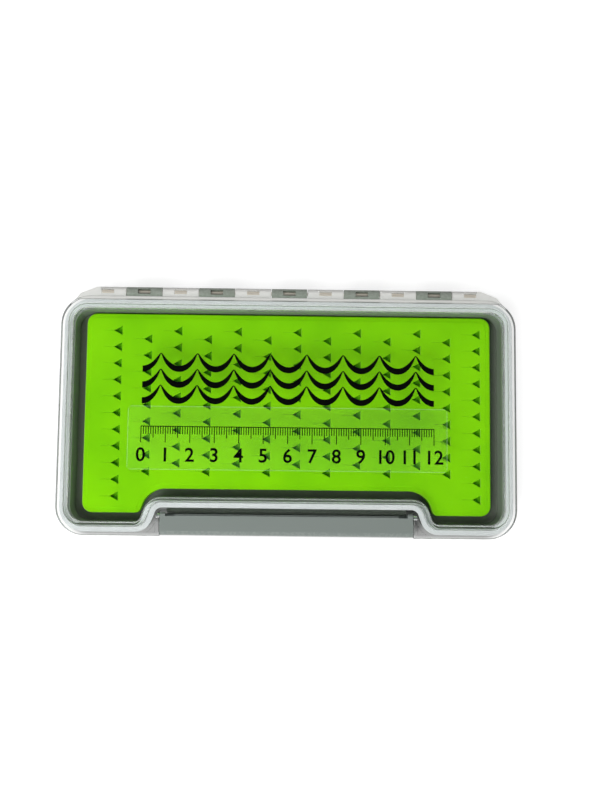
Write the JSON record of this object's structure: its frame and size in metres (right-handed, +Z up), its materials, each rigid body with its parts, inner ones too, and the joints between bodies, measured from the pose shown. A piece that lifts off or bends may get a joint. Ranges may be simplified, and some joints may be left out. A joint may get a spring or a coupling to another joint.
{
  "type": "jig box",
  "caption": "Slim hinged case with a clear raised lid, a silicone rim seal, a slotted green silicone pad in a grey tray, and a lever latch set in a recess of its front edge.",
  "frame": {"origin": "on the underside, at the middle of the closed case's outline with its hinge", "axes": "+X along the length, +Y towards the hinge, +Z up through the lid; the latch is at -Y"},
  "size_m": [0.19, 0.104, 0.0181],
  "materials": {
    "tray": "moulded grey plastic, satin",
    "latch": "moulded grey plastic, satin",
    "lid": "clear polycarbonate, polished",
    "seal": "milky silicone",
    "pad": "lime green silicone, satin",
    "glue": "double-sided glue film",
    "label": "clear film with a black printed rule",
    "pin": "drawn steel rod"
  },
  "bodies": {
    "tray": {"base_tray": "tray", "hinge_pin": "pin", "pad_glue_sheet": "glue", "slotted_pad": "pad"},
    "lid": {"lid": "lid", "lid_seal": "seal", "label_film": "label"},
    "latch": {"latch": "latch"}
  },
  "joints": [
    {"name": "lid_hinge", "type": "hinge", "parent": "tray", "child": "lid", "pos_m": [0, 0.0499, 0.01], "axis": [-1, 0, 0], "range_deg": [0, 180]},
    {"name": "latch_hinge", "type": "hinge", "parent": "lid", "child": "latch", "pos_m": [0, -0.0436, 0.0125], "axis": [-1, 0, 0], "range_deg": [0, 95]}
  ]
}
